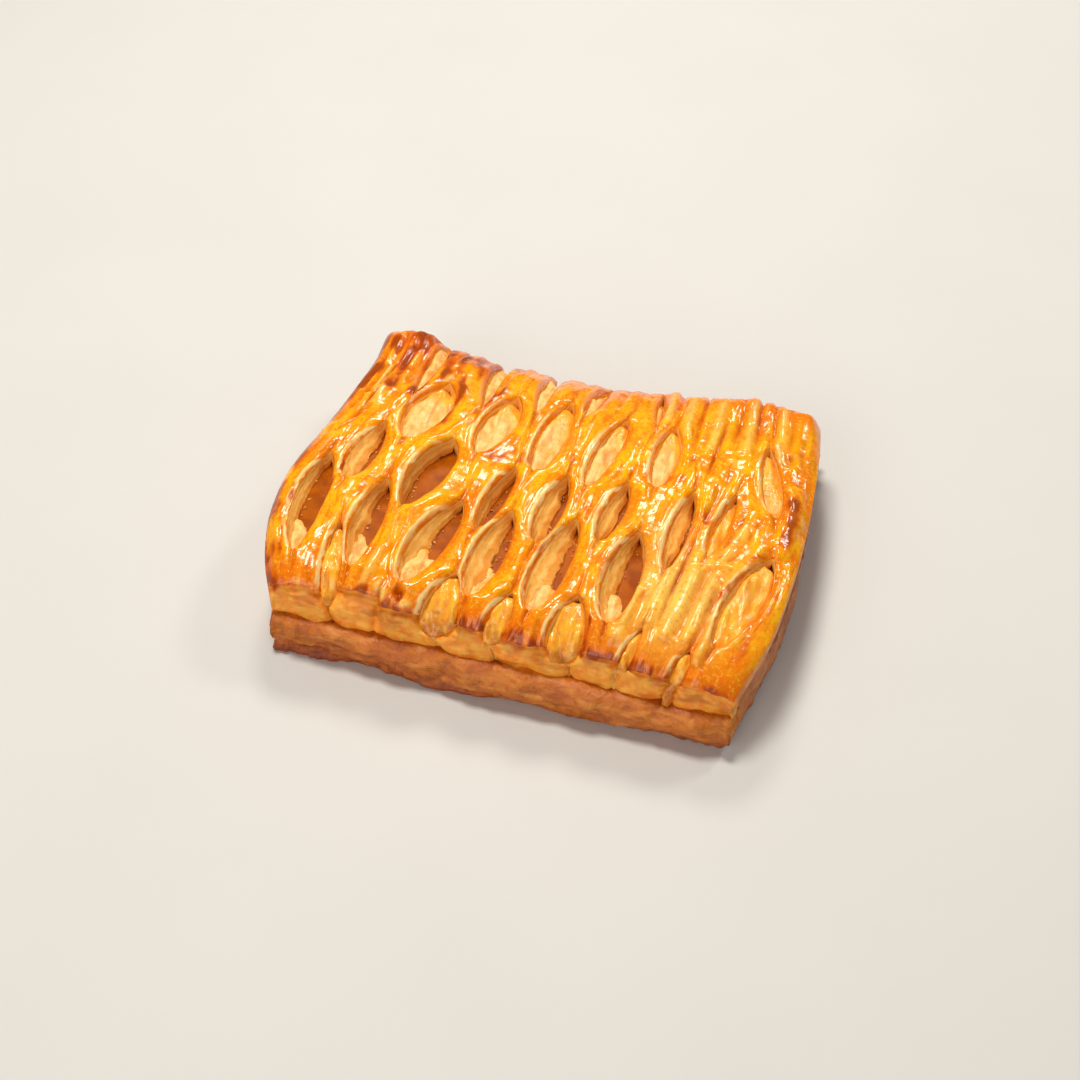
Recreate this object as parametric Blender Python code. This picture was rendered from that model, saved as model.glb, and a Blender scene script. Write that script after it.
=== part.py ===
"""A lattice-topped fruit danish, modelled as its three separate pieces, in metres.

pastry_base    the bottom sheet of dough: a soft loaf with a trough along its length
fruit_filling  the jelly that lies in the trough and runs through to both cut ends
lattice_top    the slit sheet, pulled open and draped over the other two down to a seam

+X runs along the length, -Y is the front, +Z is up, and the origin is the middle of the underside.
Each piece starts as a flat slab, whose points are then moved to their places in the loaf. A place
in the loaf is x along its length, a distance along the arch of its cross section (negative towards
the front) and a depth below the arch.
"""
import math

import bmesh
import bpy
import numpy as np

MM = 0.001

# Overall size
HALF_LENGTH = 65.0 * MM
HALF_WIDTH = 50.0 * MM
HEIGHT = 28.5 * MM

# The arch: a squared-off curve that stands on the seam, and sags towards the cut ends
SEAM_HEIGHT = 9.5 * MM
ARCH_HALF_WIDTH = 49.2 * MM
ARCH_POWER = 3.0
SAG_LENGTH = 66.5 * MM
SAG_POWER = 6.0
BARREL_LEFT = 0.15
BARREL_RIGHT_FRONT = 0.115
BARREL_RIGHT_BACK = 0.045
LUMP_HEIGHT = 0.5 * MM
LUMP_LENGTH = 21.0 * MM

# The lattice sheet, and the ledge where its glazed tabs end above the paler front and back sides
SHEET_THICKNESS = 4.2 * MM
LEDGE_DISTANCE = 48.0 * MM
LEDGE_STEP = 1.5 * MM
LEDGE_WANDER = 1.3 * MM
LEDGE_TURN = 1.7
STRIP_CROWN = 1.3 * MM
CROWN_REACH = 2.2 * MM
SHUT_CREASE = 0.6

# The slits: lines at an even spacing, with each row of slits on every second line
SLIT_LINES = 15
LINE_SPACING = 8.0 * MM
FIRST_LINE = -54.0 * MM
SLIT_POWER = 0.8
CUT_SLOPE = 0.42
LEAST_HALF_GAP = 0.35 * MM

# Each row, in millimetres: the line that its first slit is on, the middle of the row along the
# arch, the length of its slits, how wide each has opened (0 where it has baked shut), and how far
# each has moved sideways
ROWS = [
    dict(first=1, middle=38.0, length=37.0, widths=(6.5, 6.0, 4.5, 3.5, 2.0, 0.0, 0.0),
         shifts=(4.0, 6.0, 4.8, 2.5, 3.0, 0.0, -1.5)),
    dict(first=0, middle=15.5, length=26.0, widths=(0.0, 10.5, 8.5, 7.5, 4.5, 5.5, 0.0, 5.0),
         shifts=(1.0, 2.5, 5.0, 4.0, 2.5, 0.0, -3.0, -3.5)),
    dict(first=1, middle=-7.5, length=26.0, widths=(6.0, 9.0, 5.0, 5.5, 4.5, 5.5, 2.5),
         shifts=(0.0, 2.0, 4.3, 2.6, 1.4, 1.2, -1.2)),
    dict(first=0, middle=-26.0, length=29.0, widths=(9.0, 7.5, 8.0, 7.0, 6.5, 8.0, 0.0, 7.5),
         shifts=(0.5, 0.5, 0.5, 0.0, -0.3, 1.0, -2.3, -2.0)),
    dict(first=1, middle=-44.0, length=27.0, widths=(6.5, 0.0, 7.0, 5.0, 7.5, 3.5, 3.5),
         shifts=(3.0, 0.0, 1.4, -0.3, 0.8, -0.7, -5.0)),
]

# The base: its foot outside the sheet, its banks under the sheet and the trough between them
PIECE_GAP = 0.6 * MM
BASE_HALF_LENGTH = 64.0 * MM
BASE_BULGE = 2.4 * MM
BASE_INSET = 1.2 * MM
LAYER_DEPTH = 0.5 * MM
BANK_CLEARANCE = 0.8 * MM
TROUGH_MIDDLE = -11.5 * MM
TROUGH_HALF_WIDTH = 23.0 * MM
TROUGH_DEPTH = 10.0 * MM
TROUGH_POWER = 3.0

# The filling: how deep its top lies, how much of the trough it spans and how its ends swell
FILLING_HALF_LENGTH = 63.0 * MM
FILLING_TOP_DEPTH = 7.6 * MM
FILLING_SPAN = 0.84
FILLING_LIFT = 0.3 * MM
FILLING_SWELL = 0.9 * MM
RIPPLE_HEIGHT = 0.5 * MM
RIPPLE_LENGTH = 8.0 * MM

# Mesh steps along and across each slab, and its levels from the bottom to the top
LATTICE_STEPS = (2 * (SLIT_LINES + 1), 44)
LATTICE_LEVELS = 1
BASE_STEPS = (24, 28)
BASE_LEVELS = 4
FILLING_STEPS = (24, 8)
FILLING_LEVELS = 2
SMALL = 1e-4


def clear_scene():
    for thing in list(bpy.data.objects):
        bpy.data.objects.remove(thing)


def make_material(name, colour, roughness):
    material = bpy.data.materials.new(name)
    material.use_nodes = True
    shader = material.node_tree.nodes["Principled BSDF"]
    shader.inputs["Base Color"].default_value = (*colour, 1.0)
    shader.inputs["Roughness"].default_value = roughness
    shader.inputs["Metallic"].default_value = 0.0
    return material


# ---- the loaf's shape ----

def arch_quarter():
    """The arch from its crown to its foot: distance along it, y, z and the outward normal."""
    turn = np.linspace(0.0, math.pi / 2, 400)
    across = np.sin(turn) ** (2 / ARCH_POWER)
    rise = np.cos(turn) ** (2 / ARCH_POWER)
    y = ARCH_HALF_WIDTH * across
    z = SEAM_HEIGHT + (HEIGHT - SEAM_HEIGHT) * rise
    steps = np.hypot(np.diff(y), np.diff(z))
    normal_y = across ** (ARCH_POWER - 1) / ARCH_HALF_WIDTH
    normal_z = rise ** (ARCH_POWER - 1) / (HEIGHT - SEAM_HEIGHT)
    size = np.hypot(normal_y, normal_z)
    return np.concatenate([[0.0], np.cumsum(steps)]), y, z, normal_y / size, normal_z / size


ARCH_TABLE = arch_quarter()
ARCH_LENGTH = float(ARCH_TABLE[0][-1])


def arch_point(along, depth):
    """(y, z) at a signed distance along the arch and a depth below it."""
    y, z, normal_y, normal_z = (float(np.interp(abs(along), ARCH_TABLE[0], column))
                                for column in ARCH_TABLE[1:])
    return math.copysign(y - normal_y * depth, along), z - normal_z * depth


def sag(x):
    """The share of its height above the seam that the loaf keeps at x."""
    return (1.0 - min(abs(x) / SAG_LENGTH, 1.0) ** SAG_POWER) ** (1 / SAG_POWER)


def barrel(x, y):
    """x drawn in towards the front and back, so that both cut ends bow outwards."""
    right_amount = BARREL_RIGHT_FRONT if y < 0 else BARREL_RIGHT_BACK
    amount = BARREL_LEFT if x < 0 else right_amount
    return x * (1.0 - amount * (x / HALF_LENGTH) ** 2 * (y / HALF_WIDTH) ** 2)


def lump(x, y):
    """Slow dips of the whole loaf, from 0 down to -1."""
    wave = math.sin(2 * x / LUMP_LENGTH + 1.0) * math.sin((3 * y + x) / LUMP_LENGTH)
    return (wave - 1.0) / 2


def loaf_point(x, along, depth):
    """The finished place of a point given by its x, distance along the arch and depth."""
    y, z = arch_point(along, depth)
    above = max(z - SEAM_HEIGHT, 0.0)
    kept = sag(x) * (1.0 + LUMP_HEIGHT / (HEIGHT - SEAM_HEIGHT) * lump(x, y))
    return barrel(x, y), y, z - above * (1.0 - kept)


def blend(low, high, share):
    return tuple(a + (b - a) * share for a, b in zip(low, high))


# ---- the slits ----

def slit_on(row, line):
    """The index of a row's slit on a line, or None."""
    index, remainder = divmod(line - row["first"], 2)
    return index if remainder == 0 and 0 <= index < len(row["widths"]) else None


def line_x(line, along):
    """Where a slit line runs: its even place, moved by the shifts of the rows that use it."""
    used = [row for row in reversed(ROWS) if slit_on(row, line) is not None]
    middles = [row["middle"] * MM for row in used]
    shifts = [row["shifts"][slit_on(row, line)] * MM for row in used]
    return FIRST_LINE + line * LINE_SPACING + float(np.interp(along, middles, shifts))


def half_gap(line, along):
    """Half the width to which the slit on this line has opened here, 0 where there is no slit."""
    for row in ROWS:
        index = slit_on(row, line)
        reach = (along / MM - row["middle"]) / (row["length"] / 2)
        if index is not None and row["widths"][index] and abs(reach) < 1.0:
            opened = row["widths"][index] * MM / 2 * (1.0 - reach * reach) ** SLIT_POWER
            return max(opened, LEAST_HALF_GAP)
    return 0.0


def side_x(line, along, side, level):
    """The x of the dough at a slit line: -1 left of the slit, 1 right of it, 0 where uncut."""
    if line < 0:
        return -HALF_LENGTH
    if line >= SLIT_LINES:
        return HALF_LENGTH
    slope = 1.0 - CUT_SLOPE * (1.0 - level)
    return line_x(line, along) + side * half_gap(line, along) * slope


def crease(line, along):
    """1 along an open slit, less along a shut one or between two tabs below the ledge, else 0."""
    if half_gap(line, along) > 0.0:
        return 1.0
    for row in ROWS:
        reach = (along / MM - row["middle"]) / (row["length"] / 2)
        if slit_on(row, line) is not None and abs(reach) < 1.0:
            return SHUT_CREASE
    between_tabs = slit_on(ROWS[0 if along > 0 else -1], line) is not None
    return SHUT_CREASE if between_tabs and abs(along) > LEDGE_DISTANCE else 0.0


def crown_drop(line, distance, along):
    """How far a strip's rounded top lies below its crown at a distance from a slit line."""
    if not 0 <= line < SLIT_LINES:
        return 0.0
    return STRIP_CROWN * crease(line, along) * math.exp(-((distance / CROWN_REACH) ** 2))


def ledge_drop(along, column):
    """How far the front and back sides lie behind the glazed tabs that end above them."""
    ledge = LEDGE_DISTANCE + LEDGE_WANDER * math.sin(LEDGE_TURN * column)
    return LEDGE_STEP * min(max((abs(along) - ledge) / LEDGE_STEP, 0.0), 1.0)


# ---- slabs ----

def make_slab(steps, levels, is_cut=None):
    """A flat closed slab over (-1..1, -1..1), from level 0 at the bottom to 1 on top.

    Each vertex carries its level, and the mean x of the faces round it, which tells the two
    sides of a cut apart.
    """
    bm = bmesh.new()
    bmesh.ops.create_grid(bm, x_segments=steps[0], y_segments=steps[1], size=1.0)
    if is_cut:
        bmesh.ops.split_edges(bm, edges=[edge for edge in bm.edges if is_cut(edge)])
    level = bm.verts.layers.float.new("level")
    dough_x = bm.verts.layers.float.new("dough_x")
    for vert in bm.verts:
        centres = [face.calc_center_median().x for face in vert.link_faces]
        vert[dough_x] = sum(centres) / len(centres)
    top = bm.faces[:]
    for step in range(levels):
        made = bmesh.ops.extrude_face_region(bm, geom=top, use_keep_orig=True)
        if step > 0:
            bmesh.ops.delete(bm, geom=top, context="FACES")
        top = [item for item in made["geom"] if isinstance(item, bmesh.types.BMFace)]
        for vert in {vert for face in top for vert in face.verts}:
            vert[level] = (step + 1) / levels
    return bm


def finish_slab(bm, name, place, material, collection):
    """Move every vertex to its place in the loaf and make the object."""
    level = bm.verts.layers.float["level"]
    dough_x = bm.verts.layers.float["dough_x"]
    for vert in bm.verts:
        vert.co = place(vert.co.x, vert.co.y, vert[level], vert[dough_x])
    bmesh.ops.recalc_face_normals(bm, faces=bm.faces)
    mesh = bpy.data.meshes.new(name)
    bm.to_mesh(mesh)
    bm.free()
    mesh.shade_smooth()
    mesh.set_sharp_from_angle(angle=math.radians(50))
    mesh.materials.append(material)
    part = bpy.data.objects.new(name, mesh)
    collection.objects.link(part)
    return part


# ---- the lattice ----

def columns_at(u):
    """How many columns of dough lie left of u: a whole number on a slit line."""
    return (u + 1.0) / 2 * (SLIT_LINES + 1)


def is_slit_edge(edge):
    a, b = (vert.co for vert in edge.verts)
    columns = columns_at(a.x)
    line = round(columns) - 1
    on_line = abs(a.x - b.x) < SMALL and abs(columns - round(columns)) < SMALL
    return on_line and 0 <= line < SLIT_LINES and half_gap(line, (a.y + b.y) / 2 * ARCH_LENGTH) > 0


def lattice_place(u, v, level, dough_x):
    along = v * ARCH_LENGTH
    columns = columns_at(u)
    left_line = math.floor(columns + SMALL) - 1
    share = columns - left_line - 1
    if share < SMALL:
        offset = dough_x - u
        side = 0 if abs(offset) < SMALL else math.copysign(1, offset)
        x = side_x(left_line, along, side, level)
    else:
        left = side_x(left_line, along, 1, level)
        right = side_x(left_line + 1, along, -1, level)
        x = left + (right - left) * share
    drop = max(crown_drop(left_line, share * LINE_SPACING, along),
               crown_drop(left_line + 1, (1 - share) * LINE_SPACING, along),
               ledge_drop(along, columns_at(dough_x)))
    return loaf_point(x, along, drop * level + SHEET_THICKNESS * (1 - level))


def make_lattice(material, collection):
    bm = make_slab(LATTICE_STEPS, LATTICE_LEVELS, is_slit_edge)
    return finish_slab(bm, "lattice_top", lattice_place, material, collection)


# ---- the base ----

def bank_depth(along):
    """How far the base lies under the arch: close to the sheet on its banks, deep in the trough."""
    share = min(abs(along - TROUGH_MIDDLE) / TROUGH_HALF_WIDTH, 1.0)
    return SHEET_THICKNESS + BANK_CLEARANCE + TROUGH_DEPTH * (1.0 - share ** TROUGH_POWER)


def base_top(u, v):
    """The base's upper side: an outer rim for the sheet to stand on, the banks and the trough."""
    x = u * BASE_HALF_LENGTH
    inner = 1.0 - 2.0 / BASE_STEPS[1]
    if abs(v) > inner + SMALL:
        y = math.copysign(HALF_WIDTH - BASE_BULGE, v)
        return barrel(x, y), y, SEAM_HEIGHT - PIECE_GAP
    along = v / inner * ARCH_LENGTH
    x, y, z = loaf_point(x, along, bank_depth(along))
    return x, y, z - PIECE_GAP


def base_place(u, v, level, _):
    """The underside is flat; the long sides bulge between it and the rim, and the ends show layers."""
    y = v * (HALF_WIDTH - BASE_BULGE)
    bottom = (barrel(u * (BASE_HALF_LENGTH - BASE_INSET), y), y, 0.0)
    x, y, z = blend(bottom, base_top(u, v), level)
    if abs(v) > 1.0 - SMALL:
        y += math.copysign(BASE_BULGE, v) * (1.0 - (2 * level - 1) ** 2)
    if abs(u) > 1.0 - SMALL:
        x += math.copysign(LAYER_DEPTH, u) * math.sin(math.pi * BASE_LEVELS * level * 1.5)
    return x, y, z


def make_base(material, collection):
    bm = make_slab(BASE_STEPS, BASE_LEVELS)
    return finish_slab(bm, "pastry_base", base_place, material, collection)


# ---- the filling ----

def ripple(x, along):
    return math.sin(x / RIPPLE_LENGTH) * math.cos(along / RIPPLE_LENGTH)


def filling_place(u, v, level, _):
    """The jelly fills the trough up to a gently rippled top, and its cut ends swell a little."""
    x = u * FILLING_HALF_LENGTH
    along = TROUGH_MIDDLE + v * FILLING_SPAN * TROUGH_HALF_WIDTH
    top_depth = FILLING_TOP_DEPTH + RIPPLE_HEIGHT * ripple(x, along)
    bottom = loaf_point(x, along, bank_depth(along) - FILLING_LIFT)
    x, y, z = blend(bottom, loaf_point(x, along, top_depth), level)
    if abs(u) > 1.0 - SMALL:
        x += math.copysign(FILLING_SWELL, u) * (1.0 - (2 * level - 1) ** 2)
    return x, y, z


def make_filling(material, collection):
    bm = make_slab(FILLING_STEPS, FILLING_LEVELS)
    return finish_slab(bm, "fruit_filling", filling_place, material, collection)


def main():
    clear_scene()
    collection = bpy.data.collections.new("danish_pastry")
    bpy.context.scene.collection.children.link(collection)
    make_base(make_material("baked_dough", (0.72, 0.28, 0.06), 0.7), collection)
    make_filling(make_material("fruit_jelly", (0.50, 0.11, 0.005), 0.15), collection)
    make_lattice(make_material("glazed_crust", (0.85, 0.31, 0.02), 0.25), collection)


main()
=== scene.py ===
"""The looks of a lattice-topped fruit danish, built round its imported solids.

Everything below is worked out in millimetres in the frame of the solids, and turned into metres
when a mesh is made. A place in the loaf is x along its length, a distance along the arch of its
cross section (negative towards the front) and a depth below the arch.
"""
import math
from collections import namedtuple

import bmesh
import bpy
import numpy as np
from mathutils import Matrix, Vector


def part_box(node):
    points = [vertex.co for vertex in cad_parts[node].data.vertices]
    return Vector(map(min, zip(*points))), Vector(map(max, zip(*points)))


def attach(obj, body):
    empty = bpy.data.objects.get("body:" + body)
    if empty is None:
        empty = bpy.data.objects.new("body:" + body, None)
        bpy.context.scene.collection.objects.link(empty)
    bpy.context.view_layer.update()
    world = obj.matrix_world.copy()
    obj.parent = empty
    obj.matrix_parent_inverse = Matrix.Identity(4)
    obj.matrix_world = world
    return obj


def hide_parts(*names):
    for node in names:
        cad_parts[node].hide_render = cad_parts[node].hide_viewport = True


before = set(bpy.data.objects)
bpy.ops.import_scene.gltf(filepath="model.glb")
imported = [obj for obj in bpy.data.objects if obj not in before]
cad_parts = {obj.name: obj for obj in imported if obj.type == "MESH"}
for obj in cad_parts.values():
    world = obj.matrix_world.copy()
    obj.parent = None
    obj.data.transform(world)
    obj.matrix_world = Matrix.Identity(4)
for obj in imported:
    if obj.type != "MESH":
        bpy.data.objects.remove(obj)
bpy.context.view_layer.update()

MM = 0.001


def node_box(node):
    """The lowest and highest corner of a CAD node, in millimetres."""
    return [np.array(corner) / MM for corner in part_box(node)]


LATTICE_LOW, LATTICE_HIGH = node_box("lattice_top")
BASE_HIGH = node_box("pastry_base")[1]

# ---- the loaf's shape ----

HALF_LENGTH = LATTICE_HIGH[0]
HALF_WIDTH = BASE_HIGH[1]
SEAM_HEIGHT = LATTICE_LOW[2]
HEIGHT = 28.5
LEDGE_STEP = 1.5
ARCH_HALF_WIDTH = LATTICE_HIGH[1] + LEDGE_STEP
ARCH_POWER = 3.0
SAG_LENGTH = 66.5
SAG_POWER = 6.0
# How far the cut ends stand from the middle, at distances from front to back
LEFT_END = ((-50, 53.5), (-44, 57.4), (-32, 62.0), (-15, 64.1), (2, 61.8), (20, 58.8), (34, 57.8),
            (50, 58.6))
RIGHT_END = ((-50, 58.5), (-34, 63.8), (-12, 65.9), (10, 65.6), (30, 64.0), (50, 61.0))
END_POWER = 5.0
# How much higher or lower the back edge stands than an even arch, from left to right
BACK_LIFT = ((-62, 3.2), (-50, 4.2), (-38, 1.2), (-24, -1.0), (2, -2.0), (16, -1.0), (28, 1.0), (40, 3.6),
             (56, 4.2), (62, 4.4), (65, 1.5))
BACK_LIFT_PLACE = 47.0
BACK_LIFT_REACH = 9.0
# The middle between the ends lies this far left of the middle between the slits
MIDDLE_SHIFT = 0.9


def arch_quarter():
    """The arch from its crown to its foot: distance along it, y, z and the outward normal."""
    turn = np.linspace(0.0, math.pi / 2, 800)
    across = np.sin(turn) ** (2 / ARCH_POWER)
    rise = np.cos(turn) ** (2 / ARCH_POWER)
    y = ARCH_HALF_WIDTH * across
    z = SEAM_HEIGHT + (HEIGHT - SEAM_HEIGHT) * rise
    steps = np.hypot(np.diff(y), np.diff(z))
    normal_y = across ** (ARCH_POWER - 1) / ARCH_HALF_WIDTH
    normal_z = rise ** (ARCH_POWER - 1) / (HEIGHT - SEAM_HEIGHT)
    size = np.hypot(normal_y, normal_z)
    return np.concatenate([[0.0], np.cumsum(steps)]), y, z, normal_y / size, normal_z / size


ARCH_TABLE = arch_quarter()
ARCH_LENGTH = float(ARCH_TABLE[0][-1])


def loaf_points(x, along, depth):
    """Finished places, as rows of x, y and z, of points given by x, distance along and depth."""
    y, z, normal_y, normal_z = (np.interp(np.abs(along), ARCH_TABLE[0], column)
                                for column in ARCH_TABLE[1:])
    y = np.copysign(y - normal_y * depth, along)
    z = z - normal_z * depth
    sag = (1.0 - np.minimum(np.abs(x) / SAG_LENGTH, 1.0) ** SAG_POWER) ** (1 / SAG_POWER)
    above = np.maximum(z - SEAM_HEIGHT, 0.0)
    lift = curve(BACK_LIFT, x) * bell(along - BACK_LIFT_PLACE, BACK_LIFT_REACH)
    z = z - above * (1.0 - sag) + lift * step(0.0, 6.0, above)
    return np.stack([bowed(x, y), y, z], axis=-1)


def bowed(x, y):
    """x as it is once the cut ends bow in and out as they do on the real loaf."""
    end = np.where(x < 0, curve(LEFT_END, y), curve(RIGHT_END, y))
    return x + np.sign(x) * (end - HALF_LENGTH) * np.abs(x / HALF_LENGTH) ** END_POWER - MIDDLE_SHIFT


def curve(points, value):
    """A smooth curve through a few points, read at each value."""
    places, heights = np.array(points, dtype=float).T
    slopes = np.gradient(heights, places)
    value = np.clip(value, places[0], places[-1])
    at = np.clip(np.searchsorted(places, value) - 1, 0, len(places) - 2)
    width = places[at + 1] - places[at]
    share = (value - places[at]) / width
    low = (1 + 2 * share) * (1 - share) ** 2 * heights[at] + share * (1 - share) ** 2 * width * slopes[at]
    back = 1 - share
    high = (1 + 2 * back) * share ** 2 * heights[at + 1] - back * share ** 2 * width * slopes[at + 1]
    return low + high


def step(low, high, value):
    """0 below low, 1 above high and smooth between; high may be the lower one."""
    share = np.clip((value - low) / (high - low), 0.0, 1.0)
    return share * share * (3 - 2 * share)


def bell(distance, reach):
    return np.exp(-((distance / reach) ** 2))


# ---- unevenness ----

def lattice_random(cells, seed):
    """A repeatable number from -1 to 1 for each whole-number cell."""
    mixed = cells[..., 0] * 374761393 + cells[..., 1] * 668265263 + cells[..., 2] * 2147483647
    mixed = (mixed + seed * 974634777) & 0xFFFFFFFF
    mixed = ((mixed ^ (mixed >> 13)) * 1274126177) & 0xFFFFFFFF
    mixed = mixed ^ (mixed >> 16)
    return mixed / 0x7FFFFFFF - 1.0


def noise(points, size, seed, octaves=3):
    """Smooth noise, about -1 to 1, whose largest lumps are of a size in millimetres."""
    total = np.zeros(len(points))
    weight = 1.0
    for octave in range(octaves):
        scaled = points / size * 2.0 ** octave + 17.3 * (octave + 1)
        cells = np.floor(scaled).astype(np.int64)
        share = scaled - cells
        share = share * share * share * (share * (share * 6 - 15) + 10)
        value = 0.0
        for corner in np.ndindex(2, 2, 2):
            corner = np.array(corner)
            part = np.prod(np.where(corner, share, 1.0 - share), axis=-1)
            value = value + part * lattice_random(cells + corner, seed + octave)
        total += weight * value
        weight *= 0.5
    return total


def plane(*columns):
    """Rows of three numbers, the missing ones 0."""
    columns = list(columns) + [np.zeros_like(columns[0])] * (3 - len(columns))
    return np.stack(columns, axis=-1)


# ---- the slits ----

# floor   what shows in it: jelly, or dough that has puffed up into it, plain or as glazed flakes;
#         shut where it has baked shut, and groove where it is an even gap between two bricks
# line    which of the evenly spaced slit lines it lies on
# back    its end towards the back: x and the distance along the arch
# front   its end towards the front
# gap     its widest opening
# widest  where that is, from 0 at the front end to 1 at the back end
# bank    the share of the opening that its sloping left wall takes up
Slit = namedtuple("Slit", "floor line back front gap widest bank", defaults=(0.5, 0))
SLIT_LINES = 15
CELLS_PER_COLUMN = 12
SLIT_TABLE = {
    "jelly": [
        (1, (-46, 8), (-48, -13.5), 7.2, 0.45, 0.6), (3, (-26.2, 6.5), (-31, -19.5), 9.8, 0.57, 0.15),
        (5, (-8, 1.5), (-11.3, -21), 5.2, 0.5, 0.26), (7, (5.3, 2.5), (4, -21), 6, 0.45, 0.58),
        (9, (20.3, 4.5), (18.5, -17), 5.2, 0.5, 0.6), (11, (36.8, 6), (35.9, -20.5), 4.6, 0.5, 0.66),
        (0, (-55.4, -6), (-54.8, -38), 8.8, 0.5, 0.24), (2, (-37.6, -11), (-38, -39), 7.4, 0.48, 0.36),
        (4, (-17.6, -12.5), (-24, -40.5), 8.6, 0.48, 0.38), (6, (-4.4, -13), (-7.3, -40), 7.8, 0.45, 0.6),
        (8, (11.6, -11), (7.9, -40), 8, 0.45, 0.62), (10, (27.2, -10.5), (26.6, -38.5), 8.4, 0.45, 0.42),
    ],
    "dough": [
        (1, (-41.2, 51), (-42.3, 19), 3.6, 0.6, 0.2), (3, (-24.4, 53), (-22.6, 18), 4.2, 0.6, 0.2),
        (5, (-10, 53), (-8.8, 22), 3.4, 0.55, 0.2), (7, (5.6, 50), (3.4, 25), 2.2, 0.4, 0.2),
        (9, (19.5, 49), (21.9, 28), 1.6, 0.4, 0.2), (2, (-34.2, 27), (-38.4, 3.5), 11, 0.52, 0.12),
        (4, (-15.2, 27), (-18.6, 3), 8.6, 0.5, 0.14), (6, (-1.3, 30), (-3.3, 1.5), 6.8, 0.45, 0.2),
        (8, (14.1, 27.5), (10.6, 0), 5.6, 0.5, 0.2), (10, (27, 28.5), (27.2, 4.5), 5.8, 0.5, 0.15),
        (1, (-44, -27.5), (-42, -52.5), 4.8, 0.45, 0.2), (5, (-12, -34.5), (-14, -54), 8.8, 0.36, 0.2),
        (7, (2.6, -36.5), (0, -52), 5.4, 0.4, 0.2), (9, (18.2, -33.5), (17.4, -53), 8.6, 0.42, 0.2),
        (11, (35.2, -37.5), (32.6, -50), 2.8, 0.3, 0.1), (13, (47.6, -40.5), (46, -51), 3.8, 0.35, 0.1),
    ],
    "flaky": [
        (14, (51.6, 28), (57, 5), 5.2, 0.42, 0.4), (13, (47, 9), (44.6, -14), 3, 0.45, 0.5),
        (14, (59.2, -8), (53.4, -38.5), 8.4, 0.48, 0.3),
    ],
    "shut": [
        (11, (31.5, 59), (33.2, 20), 1), (13, (46, 59), (48, 27), 1), (0, (-52, 36), (-55, 6), 1),
        (12, (39.5, 36), (38.5, 9), 1), (12, (41, -4), (38.6, -38), 1),
        (3, (-28, -40.5), (-29.4, -59.3), 1),
    ],
    "groove": [
        (1, (-41.2, 59.3), (-41.2, 51), 0.5), (3, (-24.4, 59.3), (-24.4, 53), 0.5),
        (5, (-10, 59.3), (-10, 53), 0.4), (7, (5.6, 59.3), (5.6, 50), 0.4),
        (1, (-42, -52.5), (-40.5, -59.3), 0.4), (5, (-14, -54), (-12, -59.3), 0.4),
        (7, (0, -52), (2.5, -59.3), 0.6), (9, (19.6, -53), (20.3, -59.3), 0.4),
        (11, (31.6, -50), (31.2, -59.3), 0.5), (13, (45.4, -51), (44.6, -59.3), 2),
    ],
}
SLITS = [Slit(floor, *row) for floor, rows in SLIT_TABLE.items() for row in rows]
OPEN_FLOORS = ("jelly", "dough", "flaky")
EYE_POWER = 0.72
LEAST_GAP = 0.12


def on_line(line):
    return sorted((slit for slit in SLITS if slit.line == line), key=lambda slit: slit.front[1])


def line_x(line, along):
    """Where a slit line runs: through both ends of each of its slits."""
    ends = [end for slit in on_line(line) for end in (slit.front, slit.back)]
    return np.interp(along, [end[1] for end in ends], [end[0] for end in ends])


def reach_in(slit, along):
    """0 at the slit's front end and 1 at its back end, with the widest place at 0.5."""
    share = np.clip((along - slit.front[1]) / (slit.back[1] - slit.front[1]), 0, 1)
    return share ** (math.log(0.5) / math.log(slit.widest))


def eye(slit, along):
    """The slit's outline: 0 at and beyond its ends and 1 at its widest."""
    reach = reach_in(slit, along)
    return np.maximum(4 * reach * (1 - reach), 0) ** EYE_POWER


def half_gap(line, along):
    """Half the opening on this line, 0 where there is none or where it is shut."""
    half = np.zeros_like(along)
    for slit in on_line(line):
        inside = (along >= slit.front[1]) & (along <= slit.back[1])
        if slit.floor == "groove":
            half = np.maximum(half, slit.gap / 2 * inside)
        elif slit.floor != "shut":
            half = np.maximum(half, slit.gap / 2 * eye(slit, along))
    return np.where(half > LEAST_GAP, half, 0)


def bank_share(line, along):
    """How far this line's sloping left wall reaches across its opening."""
    return sum((slit.bank * (eye(slit, along) > 0) for slit in on_line(line)), np.zeros_like(along))


def left_lip(line, along):
    """1 where the left lip of an open slit stands up as a bead, fading out at the slit's back end."""
    return sum((step(1, 0.8, reach_in(slit, along)) * (eye(slit, along) > 0)
                for slit in on_line(line) if slit.floor in OPEN_FLOORS), np.zeros_like(along))


def near_stroke(x, along, start, end):
    """The distance from each place to a straight stroke between two places."""
    run = np.array(end) - np.array(start)
    share = ((x - start[0]) * run[0] + (along - start[1]) * run[1]) / max(run @ run, 1e-9)
    share = np.clip(share, 0, 1)
    return np.hypot(x - start[0] - share * run[0], along - start[1] - share * run[1])


def shut_crease(line, along):
    """1 in the middle of a slit that has baked shut, 0 elsewhere."""
    return sum((eye(slit, along) for slit in on_line(line) if slit.floor == "shut"),
               np.zeros_like(along))


# ---- slabs: the closed meshes that each piece is shaped from ----

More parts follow.
